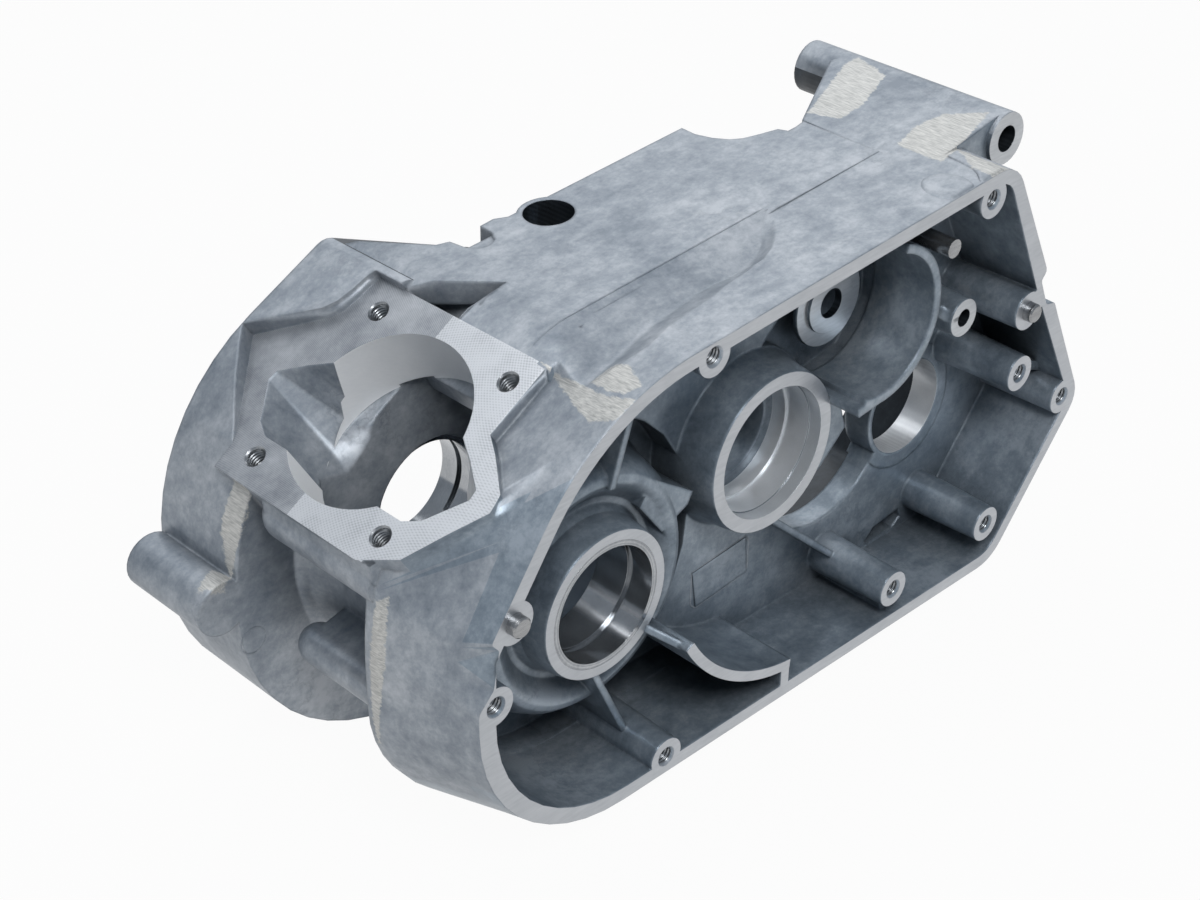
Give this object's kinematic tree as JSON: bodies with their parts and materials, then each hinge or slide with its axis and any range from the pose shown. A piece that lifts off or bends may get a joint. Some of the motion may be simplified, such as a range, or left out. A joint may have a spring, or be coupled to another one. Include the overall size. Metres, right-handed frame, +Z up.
{
  "type": "engine crankcase",
  "caption": "One-piece cast crankcase for a small single-cylinder engine: open clutch side case with screw bosses, tilted cylinder flange, flywheel bell and bolt lugs.",
  "frame": {"origin": "on the crank axis at the mouth of the near crank seat", "axes": "+X to the rear of the engine, +Y from the clutch side to the flywheel side along the crank axis, +Z up"},
  "size_m": [0.2794, 0.12, 0.1546],
  "materials": {
    "cast_aluminium": "matt die-cast skin, machined faces brighter",
    "ground_steel": "ground",
    "pin_steel": "drawn"
  },
  "bodies": {
    "root": {"casting": "cast_aluminium", "crank_ring_near": "ground_steel", "crank_ring_far": "ground_steel", "dowel_front": "pin_steel", "dowel_rear": "pin_steel", "shift_pin": "pin_steel"}
  },
  "joints": []
}
